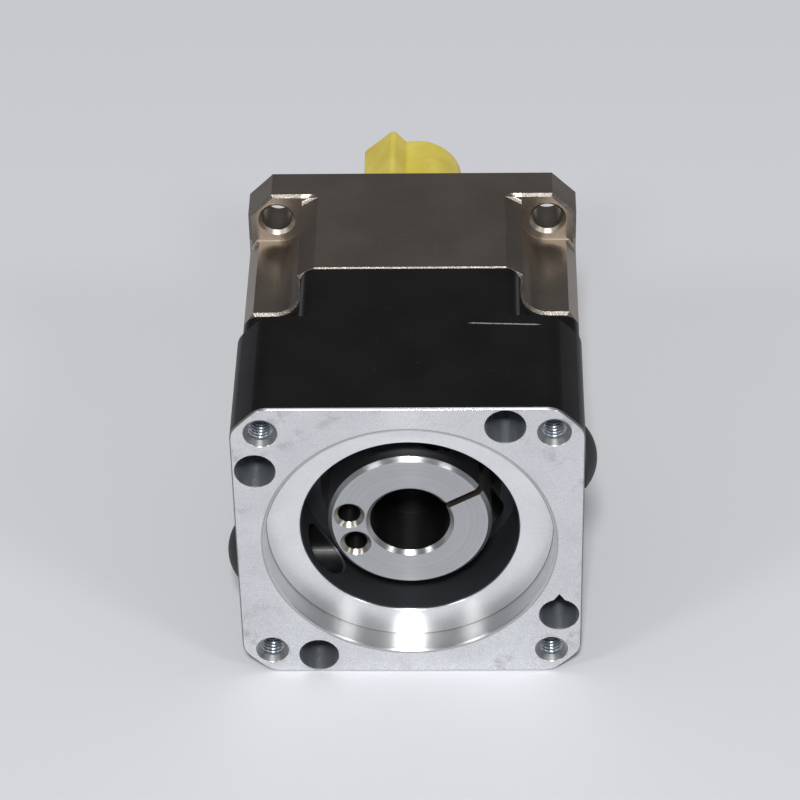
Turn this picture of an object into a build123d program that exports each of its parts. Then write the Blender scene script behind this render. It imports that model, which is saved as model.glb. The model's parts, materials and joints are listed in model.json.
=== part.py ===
from build123d import *
from math import acos, atan2, cos, degrees, hypot, pi, radians, sin, sqrt, tan
import os

# Planetary gear reducer for a 60 mm square motor, in millimetres.
# The origin is the centre of the output flange's mounting face.
# +Y runs out along the output shaft, +Z is up, and the motor bolts on at the -Y end.

os.makedirs("parts", exist_ok=True)

# Outside of the gearbox
flange = 60.0
bolt_inset = 5.25126
corner_wall = 4.0
edge_break = 0.5
running_gap = 0.03
slip_gap = 0.1

# Gears
gear_share = 0.01
sun_teeth = 18
planet_teeth = 27
planet_count = 3
pressure_angle = 20.0
tooth_thinning = 0.05
face_width = 10.0
ring_overhang = 1.0
ring_wall = 2.65

# Output housing
ear_thickness = 7.5
ear_hole_r = 2.75
ear_hole_sink = 0.65
ear_corner_cut = 4.4
arm_from_bolt = 4.75
arm_corner_drop = 1.8
arm_corner_inset = 3.0
notch_fillet = 4.5
boss_r = 25.0
boss_length = 5.0
boss_chamfer = 0.8
bearing_stop_wall = 1.0
bearing_stop_height = 1.5

# Output shaft and planet carrier
shaft_r = 8.0
shaft_length = 37.0
shaft_shoulder = 6.5
shaft_chamfer = 1.0
shaft_tap_r = 2.1
shaft_tap_depth = 12.5
shaft_centre_chamfer = 0.8
key_width = 5.0
key_height = 5.0
key_length = 25.0
key_seat = 3.0
key_from_end = 2.5
key_angle = 131.0
carrier_rim = 2.5
carrier_front_wall = 3.6
carrier_rear_wall = 3.5
carrier_shoulder = 1.0
carrier_tail_wall = 4.0
carrier_tail_floor = 1.5
window_gap = 1.0
sun_gap = 1.5
planet_side_gap = 0.5
housing_side_gap = 0.4

# Planet pins, needles and washers
pin_r = 2.0
pin_inset = 0.4
pin_seat = 2.6
needle_count = 11
needle_r = 0.735
washer_r = 5.5
washer_thickness = 0.4

# Ball bearings
front_bore_r = 10.0
front_outer_r = 18.5
front_width = 9.0
front_balls = 9
rear_bore_r = 15.0
rear_outer_r = 21.0
rear_width = 7.0
rear_balls = 12
input_bore_r = 10.0
input_outer_r = 16.0
input_width = 7.0
input_balls = 9
ball_base_r = 0.6
ball_share = 0.21
race_depth = 0.3
bearing_chamfer = 0.3

# Retaining rings and seals
clip_thickness = 1.2
clip_groove = 0.6
clip_width = 2.1
clip_lug_r = 1.1
clip_hole_r = 0.55
clip_lug_angle = 11.0
clip_slot = 3.0
output_seal_width = 5.0
output_seal_inset = 1.2
output_seal_room = 0.6
input_seal_width = 3.5
input_seal_room = 0.3
seal_wall = 1.3
seal_lip = 1.5
o_ring_section_r = 0.55
o_ring_inset = 1.6
o_ring_groove_depth = 1.1

# Motor adapter
register_r = 25.0
register_depth = 4.3
register_chamfer = 0.25
cavity_r = 19.0
cavity_chamfer = 0.25
block_length = 26.0
neck_inset = 0.7
neck_corner_fillet = 2.5
block_corner_fillet = 4.0
face_chamfer = 0.25
motor_tap_r = 2.1
motor_tap_sink = 0.85
motor_tap_depth = 14.0
spigot_length = 1.5
web_thickness = 2.5
web_bore_r = 14.5
cavity_floor_inset = 0.2

# Adapter screws
screw_r = 2.0
screw_head_r = 3.45
screw_head_height = 4.0
screw_socket = 3.0
screw_thread = 8.0
screw_inset = 4.0
screw_from_arm = 3.5
screw_seat = 4.5
screw_count = 4
screw_hole_r = 2.15
counterbore_r = 3.55
arrow_width = 2.2
arrow_height = 1.3
arrow_depth = 4.0

# Input shaft with its clamp hub
hub_r = 14.3
hub_length = 10.05
hub_face_depth = 5.85
hub_floor_gap = 0.4
hub_rim_chamfer = 0.7
motor_shaft_r = 7.0
bore_chamfer = 0.7
slit_width = 1.3
slit_angle = 30.0
slit_margin = 1.2
seal_land = 1.0
clamp_offset = 10.4
clamp_screw_length = 14.0
clamp_flat = 5.0
clamp_pocket_gap = 0.4
balance_hole_r = 2.0
balance_hole_sink = 0.75
balance_hole_depth = 6.0
balance_circle_r = 10.7
balance_angle = 189.3
balance_spread = 34.8
input_end_gap = 1.0
input_end_wall = 4.5
sun_shank_r = 4.0
sun_neck_relief = 0.15
sun_end_gap = 0.1
sun_overhang = 0.5

# Access plugs
access_r = 4.5
plug_head_r = 5.4
plug_dome = 2.0
plug_rim = 0.5
plug_stem = 4.0
plug_wall = 1.5

# Shaft sleeve
sleeve_wall = 0.7
sleeve_key_wall = 1.5
sleeve_end_wall = 1.2
sleeve_end_gap = 3.6
sleeve_start_gap = 0.8
sleeve_fillet = 0.5

# Gear radii
module = gear_share * flange
ring_teeth = sun_teeth + 2 * planet_teeth
centre_distance = module * (sun_teeth + planet_teeth) / 2
addendum = module
dedendum = 1.25 * module
planet_tip_r = module * planet_teeth / 2 + addendum
ring_root_r = module * ring_teeth / 2 + dedendum
ring_outer_r = ring_root_r + ring_wall
carrier_r = centre_distance + pin_r + carrier_rim
carrier_core_r = module * sun_teeth / 2 + addendum + sun_gap
needle_pitch_r = pin_r + running_gap + needle_r
planet_bore_r = needle_pitch_r + needle_r

# Places along the shaft, from the flange face back to the motor face
seal_front = boss_length - output_seal_inset
seal_back = seal_front - output_seal_width
front_bearing_y = seal_back - output_seal_room - clip_thickness
front_bearing_back = front_bearing_y - front_width
ring_front = front_bearing_back - bearing_stop_wall
carrier_front = ring_front - housing_side_gap
window_front = carrier_front - carrier_front_wall
planet_front = window_front - planet_side_gap
planet_back = planet_front - face_width
window_back = planet_back - planet_side_gap
ring_back = planet_back - ring_overhang
joint_face = ring_back - spigot_length
rear_bearing_y = window_back - carrier_rear_wall
rear_bearing_back = rear_bearing_y - rear_width
tail_floor = rear_bearing_y - carrier_tail_floor
input_end = tail_floor - input_end_gap
motor_shaft_end = input_end - input_end_wall
input_bearing_y = rear_bearing_back - web_thickness
input_bearing_back = input_bearing_y - input_width
input_seal_y = input_bearing_back - clip_thickness - input_seal_room
cavity_floor = input_seal_y - input_seal_width - cavity_floor_inset
hub_back = cavity_floor - hub_floor_gap
hub_face = hub_back - hub_length
motor_face = hub_face - hub_face_depth
step_face = motor_face + block_length
screw_seat_y = step_face - screw_seat
clamp_y = (hub_face + hub_back) / 2
sleeve_start = shaft_shoulder + sleeve_start_gap
sleeve_end = shaft_length + sleeve_end_gap + sleeve_end_wall
sleeve_length = sleeve_end - sleeve_start

# Places across the shaft
half = flange / 2
bolt_pitch = flange - 2 * bolt_inset
arm_half = bolt_pitch / 2 - arm_from_bolt
corner_circle_r = bolt_pitch / sqrt(2) + corner_wall
screw_across = half - screw_inset
screw_aside = arm_half - screw_from_arm
screw_circle_r = hypot(screw_across, screw_aside)
screw_start = degrees(atan2(screw_aside, -screw_across))
neck_half = arm_half - neck_inset
planet_angles = [90.0 + 360.0 * place / planet_count for place in range(planet_count)]
slit_way = Vector(cos(radians(slit_angle)), 0, sin(radians(slit_angle)))
clamp_way = Vector(-sin(radians(slit_angle)), 0, cos(radians(slit_angle)))
key_way = Vector(cos(radians(key_angle)), 0, sin(radians(key_angle)))


def across(y):
    """The plane across the shaft at y, with X right and Z up; extruding from it runs to -Y."""
    return Plane.XZ.offset(-y)


def keep(piece, label):
    """Labels a finished piece and writes its STEP file."""
    piece.part.label = label
    export_step(piece.part, f"parts/{label}.step")


def turned(*outline):
    """A piece turned about the shaft from its (radius, y) outline."""
    with BuildPart() as piece:
        with BuildSketch(Plane.XY):
            with BuildLine():
                Polyline(*outline, close=True)
            make_face()
        revolve(axis=Axis.Y)
    return piece


def gear_outline(teeth, tip_r, root_r, thinning, phase):
    """Corner points of an involute gear with one tooth centred at the phase angle."""
    pitch_r = module * teeth / 2
    base_r = pitch_r * cos(radians(pressure_angle))
    half_tooth = (pi * module / 2 - thinning) / (2 * pitch_r)
    half_base = half_tooth + tan(radians(pressure_angle)) - radians(pressure_angle)
    flank = []
    steps = 3
    for step in range(steps + 1):
        r = root_r + (tip_r - root_r) * step / steps
        working = acos(base_r / max(r, base_r))
        flank.append((r, half_base - tan(working) + working))
    points = []
    for tooth in range(teeth):
        middle = radians(phase) + 2 * pi * tooth / teeth
        rising = [(r * cos(middle - width), r * sin(middle - width)) for r, width in flank]
        falling = [(r * cos(middle + width), r * sin(middle + width)) for r, width in reversed(flank)]
        points += rising + falling
    return points


def external_teeth(teeth, phase):
    """Outline of an external gear."""
    pitch_r = module * teeth / 2
    return gear_outline(teeth, pitch_r + addendum, pitch_r - dedendum, tooth_thinning, phase)


def bearing(name, bore_r, outer_r, width, balls, front):
    """Writes a deep groove ball bearing as its inner ring, outer ring and set of balls."""
    pitch_r = (bore_r + outer_r) / 2
    ball_r = ball_base_r + ball_share * (outer_r - bore_r)
    middle = front - width / 2
    race_r = ball_r + running_gap
    land = ball_r * (1 - race_depth)
    for label, low_r, high_r in (("inner", bore_r, pitch_r - land), ("outer", pitch_r + land, outer_r)):
        with BuildPart() as race:
            with BuildSketch(Plane.XY) as section:
                with Locations(((low_r + high_r) / 2, middle)):
                    Rectangle(high_r - low_r, width)
                corners = section.vertices().sort_by(Axis.X)
                chamfer(corners[:2] if label == "inner" else corners[-2:], bearing_chamfer)
                with Locations((pitch_r, middle)):
                    Circle(race_r, mode=Mode.SUBTRACT)
            revolve(axis=Axis.Y)
        keep(race, f"{name}_bearing_{label}_ring")
    with BuildPart(across(middle)) as ball_set:
        with PolarLocations(pitch_r, balls):
            Sphere(ball_r)
    keep(ball_set, f"{name}_bearing_balls")


def clip(label, seat_r, outward, back):
    """Writes a retaining ring: outward ones spring into a bore, the others grip a shaft."""
    groove_r = seat_r + clip_groove if outward else seat_r - clip_groove
    edge_r = groove_r - clip_width if outward else groove_r + clip_width
    with BuildPart() as piece:
        with BuildSketch(across(back + clip_thickness)):
            Circle(max(groove_r, edge_r))
            Circle(min(groove_r, edge_r), mode=Mode.SUBTRACT)
            lugs = PolarLocations(edge_r, 2, 90 - clip_lug_angle, 2 * clip_lug_angle, endpoint=True)
            with lugs:
                Circle(clip_lug_r)
            with Locations((0, edge_r)):
                Rectangle(clip_slot, 3 * clip_width, mode=Mode.SUBTRACT)
            with lugs:
                Circle(clip_hole_r, mode=Mode.SUBTRACT)
        extrude(amount=clip_thickness)
    keep(piece, label)


def cap_screw(seat, shank_length):
    """A socket head screw whose head stands out from the seat plane along its normal."""
    way = Axis(seat.origin, seat.z_dir)
    with BuildPart() as screw:
        with BuildSketch(seat):
            Circle(screw_head_r)
        extrude(amount=screw_head_height)
        chamfer(screw.edges().group_by(way)[-1], 0.3)
        with BuildSketch(seat.offset(screw_head_height)):
            RegularPolygon(screw_socket / 2, 6, major_radius=False)
        extrude(amount=-screw_head_height / 2, mode=Mode.SUBTRACT)
        with BuildSketch(seat):
            Circle(screw_r)
        extrude(amount=-shank_length)
        chamfer(screw.edges().group_by(way)[0], 0.4)
    return screw


def notched_outline(arm, drop, inset):
    """Corner points of the square with notched corners; drop and inset cut the arms' corners."""
    corner = [(half, arm - inset), (half - drop, arm), (arm, arm), (arm, half - drop), (arm - inset, half)]
    points = []
    for turn in range(4):
        for x, z in corner:
            points.append((x * cos(turn * pi / 2) - z * sin(turn * pi / 2),
                           x * sin(turn * pi / 2) + z * cos(turn * pi / 2)))
    return points


def within_circle(vertices, low_r, high_r):
    """The vertices of a sketch that lie between two radii."""
    return [vertex for vertex in vertices if low_r < hypot(vertex.X, vertex.Y) < high_r]


def ear_back_rims(housing):
    """The rims of the flange holes on the back of the ears."""
    rims = housing.edges().filter_by(GeomType.CIRCLE)
    behind = rims.filter_by(lambda edge: abs(edge.radius - ear_hole_r) < 0.001)
    return behind.filter_by(lambda edge: edge.center().Y < -ear_thickness / 2)


# Output housing
with BuildPart() as gear_housing:
    with BuildSketch(across(0)) as arms:
        Polygon(*notched_outline(arm_half, arm_corner_drop, arm_corner_inset), align=None)
        fillet(within_circle(arms.vertices(), 0, arm_half * sqrt(2) + 0.1), notch_fillet)
    extrude(amount=-joint_face)
    chamfer(gear_housing.faces().sort_by(Axis.Y)[0].outer_wire().edges(), edge_break)
    with BuildSketch(across(0)) as ears:
        Rectangle(flange, flange)
        chamfer(ears.vertices(), ear_corner_cut)
    extrude(amount=ear_thickness)
    chamfer(gear_housing.faces().sort_by(Axis.Y)[-1].outer_wire().edges(), edge_break)
    ear_back = gear_housing.edges().filter_by_position(Axis.Y, -ear_thickness - 0.01, -ear_thickness + 0.01)
    ear_outer = ear_back.filter_by(lambda edge: hypot(edge.center().X, edge.center().Z) > half + ear_corner_cut)
    chamfer(ear_outer, edge_break)
    with BuildSketch(across(boss_length)):
        Circle(boss_r)
    extrude(amount=boss_length)
    chamfer(gear_housing.edges().group_by(Axis.Y)[-1], boss_chamfer)
    with BuildSketch(across(boss_length)):
        Circle(front_outer_r)
    extrude(amount=boss_length - front_bearing_back, mode=Mode.SUBTRACT)
    with BuildSketch(across(front_bearing_back)):
        Circle(front_outer_r - bearing_stop_height)
    extrude(amount=bearing_stop_wall, mode=Mode.SUBTRACT)
    with BuildSketch(across(ring_front)):
        Circle(ring_outer_r)
    extrude(amount=ring_front - joint_face, mode=Mode.SUBTRACT)
    with BuildSketch(across(front_bearing_y + clip_thickness)):
        Circle(front_outer_r + clip_groove)
    extrude(amount=clip_thickness, mode=Mode.SUBTRACT)
    with BuildSketch(across(0)):
        with GridLocations(bolt_pitch, bolt_pitch, 2, 2):
            Circle(ear_hole_r)
    extrude(amount=ear_thickness, mode=Mode.SUBTRACT)
    ear_rims = ear_back_rims(gear_housing)
    chamfer(ear_rims, ear_hole_sink)
    with BuildSketch(across(joint_face + screw_thread + screw_r)):
        with PolarLocations(screw_circle_r, screw_count, screw_start):
            Circle(screw_r)
    extrude(amount=screw_thread + screw_r, mode=Mode.SUBTRACT)
keep(gear_housing, "gear_housing")

# Internal ring gear, pressed into the housing
with BuildPart() as ring_gear:
    with BuildSketch(across(ring_front)):
        Circle(ring_outer_r)
        ring_tip_r = module * ring_teeth / 2 - addendum
        spaces = gear_outline(ring_teeth, ring_root_r, ring_tip_r, -tooth_thinning, planet_angles[0])
        Polygon(*spaces, align=None, mode=Mode.SUBTRACT)
    extrude(amount=ring_front - ring_back)
keep(ring_gear, "ring_gear")

# Output shaft and planet carrier in one piece
carrier_outline = [
    (0, shaft_length),
    (shaft_r - shaft_chamfer, shaft_length),
    (shaft_r, shaft_length - shaft_chamfer),
    (shaft_r, shaft_shoulder),
    (front_bore_r - edge_break, shaft_shoulder),
    (front_bore_r, shaft_shoulder - edge_break),
    (front_bore_r, front_bearing_back),
    (front_bore_r + carrier_shoulder, front_bearing_back),
    (front_bore_r + carrier_shoulder, carrier_front),
    (carrier_r, carrier_front),
    (carrier_r, rear_bearing_y),
    (rear_bore_r, rear_bearing_y),
    (rear_bore_r, rear_bearing_back),
    (rear_bore_r - carrier_tail_wall, rear_bearing_back),
    (rear_bore_r - carrier_tail_wall, tail_floor),
    (carrier_core_r, tail_floor),
    (carrier_core_r, window_front),
    (0, window_front),
]
with BuildPart() as planet_carrier:
    with BuildSketch(Plane.XY):
        with BuildLine():
            Polyline(*carrier_outline, close=True)
        make_face()
    revolve(axis=Axis.Y)
    with BuildSketch(across(window_front)):
        with PolarLocations(centre_distance, planet_count, planet_angles[0]):
            Circle(planet_tip_r + window_gap)
    extrude(amount=window_front - window_back, mode=Mode.SUBTRACT)
    with BuildSketch(across(carrier_front)):
        with PolarLocations(centre_distance, planet_count, planet_angles[0]):
            Circle(pin_r)
    extrude(amount=carrier_front - window_back + pin_seat, mode=Mode.SUBTRACT)
    with BuildSketch(across(front_bearing_y + clip_thickness)):
        Circle(front_bore_r + 1)
        Circle(front_bore_r - clip_groove, mode=Mode.SUBTRACT)
    extrude(amount=clip_thickness, mode=Mode.SUBTRACT)
    with BuildSketch(across(shaft_length)):
        Circle(shaft_tap_r)
    extrude(amount=shaft_tap_depth, mode=Mode.SUBTRACT)
    chamfer(planet_carrier.edges().group_by(Axis.Y)[-1].sort_by(SortBy.LENGTH)[0], shaft_centre_chamfer)
    key_middle = shaft_length - key_from_end - key_length / 2
    keyway = Plane(origin=key_way * shaft_r + Vector(0, key_middle, 0), x_dir=(0, 1, 0), z_dir=key_way)
    with BuildSketch(keyway):
        SlotOverall(key_length, key_width)
    extrude(amount=-key_seat, mode=Mode.SUBTRACT)
keep(planet_carrier, "planet_carrier")

with BuildPart() as output_key:
    with BuildSketch(keyway.offset(-key_seat)):
        SlotOverall(key_length, key_width)
    extrude(amount=key_height)
    chamfer(output_key.faces().sort_by(Axis((0, 0, 0), key_way))[-1].edges(), 0.25)
keep(output_key, "output_key")

# Planets with their pins, needles and thrust washers
for number, angle in enumerate(planet_angles, start=1):
    place = (centre_distance * cos(radians(angle)), centre_distance * sin(radians(angle)))
    rolled = (angle - planet_angles[0]) * (1 - ring_teeth / planet_teeth)
    with BuildPart() as planet_gear:
        with BuildSketch(across(planet_front)):
            with Locations(place):
                Polygon(*external_teeth(planet_teeth, planet_angles[0] + rolled), align=None)
                Circle(planet_bore_r, mode=Mode.SUBTRACT)
        extrude(amount=face_width)
    keep(planet_gear, f"planet_gear_{number}")
    with BuildPart() as planet_pin:
        with BuildSketch(across(carrier_front - pin_inset)):
            with Locations(place):
                Circle(pin_r)
        extrude(amount=carrier_front - pin_inset - window_back + pin_seat)
        chamfer(planet_pin.edges().filter_by(GeomType.CIRCLE), 0.2)
    keep(planet_pin, f"planet_pin_{number}")
    with BuildPart() as planet_needles:
        with BuildSketch(across(planet_front - edge_break)):
            with Locations(place):
                with PolarLocations(needle_pitch_r, needle_count, angle):
                    Circle(needle_r)
        extrude(amount=face_width - 2 * edge_break)
    keep(planet_needles, f"planet_needles_{number}")

with BuildPart() as planet_washers:
    for washer_front in (window_front, window_back + washer_thickness):
        with BuildSketch(across(washer_front)):
            with PolarLocations(centre_distance, planet_count, planet_angles[0]):
                Circle(washer_r)
                Circle(pin_r, mode=Mode.SUBTRACT)
        extrude(amount=washer_thickness)
keep(planet_washers, "planet_washers")

# Sun gear on its shank
sun_phase = planet_angles[0] + (planet_teeth + 1) % 2 * 180.0 / sun_teeth
sun_neck_r = module * sun_teeth / 2 - dedendum - sun_neck_relief
with BuildPart() as sun_gear:
    with BuildSketch(across(planet_front - sun_end_gap)):
        Polygon(*external_teeth(sun_teeth, sun_phase), align=None)
    extrude(amount=face_width + sun_overhang - sun_end_gap)
    with BuildSketch(across(planet_back - sun_overhang)):
        Circle(sun_neck_r)
    extrude(amount=planet_back - sun_overhang - input_end)
    with BuildSketch(across(input_end)):
        Circle(sun_shank_r)
    extrude(amount=input_end_wall - edge_break)
keep(sun_gear, "sun_gear")

# Input shaft: clamp hub for the motor shaft, seal land and bearing seat
seal_land_r = input_bore_r + seal_land
hub_outline = [
    (motor_shaft_r + bore_chamfer, hub_face),
    (hub_r - hub_rim_chamfer, hub_face),
    (hub_r, hub_face + hub_rim_chamfer),
    (hub_r, hub_back),
    (seal_land_r, hub_back),
    (seal_land_r, input_bearing_back),
    (input_bore_r, input_bearing_back),
    (input_bore_r, input_end - edge_break),
    (input_bore_r - edge_break, input_end),
    (sun_shank_r, input_end),
    (sun_shank_r, motor_shaft_end),
    (motor_shaft_r, motor_shaft_end),
    (motor_shaft_r, hub_face + bore_chamfer),
]
clamp_seat = Plane(
    origin=slit_way * clamp_offset - clamp_way * clamp_flat + Vector(0, clamp_y, 0),
    x_dir=(0, 1, 0),
    z_dir=-clamp_way,
)
with BuildPart() as input_shaft:
    with BuildSketch(Plane.XY):
        with BuildLine():
            Polyline(*hub_outline, close=True)
        make_face()
    revolve(axis=Axis.Y)
    with BuildSketch(across(hub_back - slit_margin)):
        with PolarLocations(hub_r, 1, slit_angle):
            Rectangle(2 * (hub_r - motor_shaft_r / 2), slit_width)
    extrude(amount=hub_length - slit_margin, mode=Mode.SUBTRACT)
    with BuildSketch(clamp_seat):
        Circle(screw_head_r + clamp_pocket_gap)
    extrude(amount=hub_r, mode=Mode.SUBTRACT)
    with BuildSketch(clamp_seat):
        Circle(screw_hole_r)
    extrude(amount=-clamp_flat, mode=Mode.SUBTRACT)
    with BuildSketch(clamp_seat):
        Circle(screw_r)
    extrude(amount=-clamp_flat - hub_r, mode=Mode.SUBTRACT)
    with BuildSketch(across(hub_face + balance_hole_depth)):
        balance_start = balance_angle - balance_spread / 2
        with PolarLocations(balance_circle_r, 2, balance_start, balance_spread, endpoint=True):
            Circle(balance_hole_r)
    extrude(amount=balance_hole_depth, mode=Mode.SUBTRACT)
    face_rims = input_shaft.edges().group_by(Axis.Y)[0].filter_by(GeomType.CIRCLE)
    chamfer(face_rims.filter_by(lambda edge: edge.radius < balance_hole_r + 0.01), balance_hole_sink)
    with BuildSketch(across(input_bearing_y + clip_thickness)):
        Circle(input_bore_r + 1)
        Circle(input_bore_r - clip_groove, mode=Mode.SUBTRACT)
    extrude(amount=clip_thickness, mode=Mode.SUBTRACT)
keep(input_shaft, "input_shaft")

clamp_screw = cap_screw(clamp_seat, clamp_screw_length)
keep(clamp_screw, "clamp_screw")

# Ball bearings and the rings that hold them
bearing("front", front_bore_r, front_outer_r, front_width, front_balls, front_bearing_y)
bearing("rear", rear_bore_r, rear_outer_r, rear_width, rear_balls, rear_bearing_y)
bearing("input", input_bore_r, input_outer_r, input_width, input_balls, input_bearing_y)
clip("front_bearing_clip", front_outer_r, True, front_bearing_y)
clip("output_shaft_clip", front_bore_r, False, front_bearing_y)
clip("rear_bearing_clip", rear_outer_r, True, rear_bearing_y)
clip("input_bearing_clip", input_outer_r, True, input_bearing_back - clip_thickness)
clip("input_shaft_clip", input_bore_r, False, input_bearing_y)

# Shaft seals
output_seal = turned(
    (front_bore_r + running_gap, seal_front - seal_wall),
    (front_bore_r + seal_lip, seal_front),
    (front_outer_r, seal_front),
    (front_outer_r, seal_back),
    (front_outer_r - seal_wall, seal_back),
    (front_outer_r - seal_wall, seal_front - seal_wall),
    (front_bore_r + 2 * seal_lip, seal_front - seal_wall),
    (front_bore_r + 2 * seal_lip, seal_back + seal_wall),
    (front_bore_r + seal_lip, seal_back + seal_wall),
    (front_bore_r + running_gap, seal_front - 2 * seal_wall),
)
keep(output_seal, "output_seal")
input_seal_back = input_seal_y - input_seal_width
input_seal = turned(
    (seal_land_r + running_gap, input_seal_back + seal_wall),
    (seal_land_r + seal_lip, input_seal_back),
    (input_outer_r, input_seal_back),
    (input_outer_r, input_seal_y),
    (input_outer_r - seal_wall, input_seal_y),
    (input_outer_r - seal_wall, input_seal_back + seal_wall),
    (seal_land_r + seal_lip + 0.5, input_seal_back + seal_wall),
    (seal_land_r + seal_lip, input_seal_y),
    (seal_land_r + running_gap, input_seal_back + 2 * seal_wall),
)
keep(input_seal, "input_seal")

# Motor adapter
o_ring_r = ring_outer_r + o_ring_inset
with BuildPart() as motor_adapter:
    with BuildSketch(across(step_face)) as block:
        Rectangle(flange, flange)
        Circle(corner_circle_r, mode=Mode.INTERSECT)
        fillet(block.vertices(), block_corner_fillet)
    extrude(amount=block_length)
    chamfer(motor_adapter.faces().sort_by(Axis.Y)[0].edges(), face_chamfer)
    chamfer(motor_adapter.faces().sort_by(Axis.Y)[-1].edges(), face_chamfer)
    with BuildSketch(across(joint_face)) as neck:
        Polygon(*notched_outline(neck_half, 0, 0), align=None)
        outer_corners = within_circle(neck.vertices(), neck_half * sqrt(2) + 0.1, flange)
        fillet(outer_corners, neck_corner_fillet)
        fillet(within_circle(neck.vertices(), 0, neck_half * sqrt(2) + 0.1), notch_fillet)
    extrude(amount=joint_face - step_face + face_chamfer)
    with BuildSketch(across(ring_back)):
        Circle(ring_outer_r)
    extrude(amount=spigot_length)
    with BuildSketch(across(ring_back)):
        Circle(rear_outer_r)
    extrude(amount=ring_back - rear_bearing_back, mode=Mode.SUBTRACT)
    with BuildSketch(across(rear_bearing_back)):
        Circle(web_bore_r)
    extrude(amount=web_thickness, mode=Mode.SUBTRACT)
    with BuildSketch(across(input_bearing_y)):
        Circle(input_outer_r)
    extrude(amount=input_bearing_y - cavity_floor, mode=Mode.SUBTRACT)
    with BuildSketch(across(cavity_floor)):
        Circle(cavity_r)
    extrude(amount=cavity_floor - motor_face, mode=Mode.SUBTRACT)
    with BuildSketch(across(motor_face + register_depth)):
        Circle(register_r)
    extrude(amount=register_depth, mode=Mode.SUBTRACT)
    face_circles = motor_adapter.edges().group_by(Axis.Y)[0].filter_by(GeomType.CIRCLE)
    chamfer(face_circles.filter_by(lambda edge: abs(edge.radius - register_r) < 0.01), register_chamfer)
    cavity_rims = motor_adapter.edges().filter_by(GeomType.CIRCLE).sort_by(Axis.Y)
    chamfer(cavity_rims.filter_by(lambda edge: abs(edge.radius - cavity_r) < 0.01)[0], cavity_chamfer)
    input_clip_back = input_bearing_back - clip_thickness
    for groove_back, seat_r in ((rear_bearing_y, rear_outer_r), (input_clip_back, input_outer_r)):
        with BuildSketch(across(groove_back + clip_thickness)):
            Circle(seat_r + clip_groove)
        extrude(amount=clip_thickness, mode=Mode.SUBTRACT)
    with BuildSketch(across(joint_face)):
        Circle(o_ring_r + o_ring_section_r)
        Circle(o_ring_r - o_ring_section_r, mode=Mode.SUBTRACT)
    extrude(amount=o_ring_groove_depth, mode=Mode.SUBTRACT)
    with BuildSketch(across(joint_face)):
        with PolarLocations(screw_circle_r, screw_count, screw_start):
            Circle(screw_hole_r)
    extrude(amount=joint_face - screw_seat_y, mode=Mode.SUBTRACT)
    with BuildSketch(across(screw_seat_y)):
        with PolarLocations(screw_circle_r, screw_count, screw_start):
            Circle(counterbore_r)
    extrude(amount=screw_seat_y - motor_face, mode=Mode.SUBTRACT)
    with BuildSketch(across(motor_face + arrow_depth)):
        notch_base = sqrt(counterbore_r**2 - arrow_width**2 / 4) - slip_gap - screw_aside
        Polygon(
            (screw_across - arrow_width / 2, notch_base),
            (screw_across + arrow_width / 2, notch_base),
            (screw_across, counterbore_r + arrow_height - screw_aside),
            align=None,
        )
    extrude(amount=arrow_depth, mode=Mode.SUBTRACT)
    with BuildSketch(across(motor_face + motor_tap_depth)):
        with GridLocations(bolt_pitch, bolt_pitch, 2, 2):
            Circle(motor_tap_r)
    extrude(amount=motor_tap_depth, mode=Mode.SUBTRACT)
    tap_rims = motor_adapter.edges().group_by(Axis.Y)[0].filter_by(GeomType.CIRCLE)
    chamfer(tap_rims.filter_by(lambda edge: abs(edge.radius - motor_tap_r) < 0.01), motor_tap_sink)
    access_reach = half - sqrt(cavity_r**2 - (clamp_offset + access_r) ** 2)
    for side in (1, -1):
        with BuildSketch(Plane(origin=(side * half, clamp_y, side * clamp_offset), z_dir=(side, 0, 0))):
            Circle(access_r)
        extrude(amount=-access_reach, mode=Mode.SUBTRACT)
keep(motor_adapter, "motor_adapter")

with BuildPart() as housing_o_ring:
    with BuildSketch(Plane.XY):
        with Locations((o_ring_r, joint_face - o_ring_section_r)):
            Circle(o_ring_section_r)
    revolve(axis=Axis.Y)
keep(housing_o_ring, "housing_o_ring")

for number in range(screw_count):
    angle = radians(screw_start - number * 360.0 / screw_count)
    head_place = (screw_circle_r * cos(angle), screw_seat_y, screw_circle_r * sin(angle))
    seat = Plane(origin=head_place, x_dir=(1, 0, 0), z_dir=(0, -1, 0))
    adapter_screw = cap_screw(seat, joint_face - screw_seat_y + screw_thread)
    keep(adapter_screw, f"adapter_screw_{number + 1}")

# Rubber plugs in the access holes, right and left
for name, side in (("right", 1), ("left", -1)):
    middle = Vector(side * half, clamp_y, side * clamp_offset)
    stem_r = access_r - slip_gap
    with BuildPart() as access_plug:
        with BuildSketch(Plane(origin=middle, x_dir=(0, 1, 0), z_dir=(0, 0, -side))):
            with BuildLine():
                Polyline(
                    (0, -plug_wall),
                    (stem_r - plug_wall, -plug_wall),
                    (stem_r - plug_wall, -plug_stem),
                    (stem_r, -plug_stem),
                    (stem_r, running_gap),
                    (plug_head_r, running_gap),
                    (plug_head_r, plug_rim),
                )
                dome_r = (plug_head_r**2 + plug_dome**2) / (2 * plug_dome)
                RadiusArc((plug_head_r, plug_rim), (0, plug_rim + plug_dome), -dome_r)
                Line((0, plug_rim + plug_dome), (0, -plug_wall))
            make_face()
        revolve(axis=Axis(middle, (side, 0, 0)))
    keep(access_plug, f"access_plug_{name}")

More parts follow.
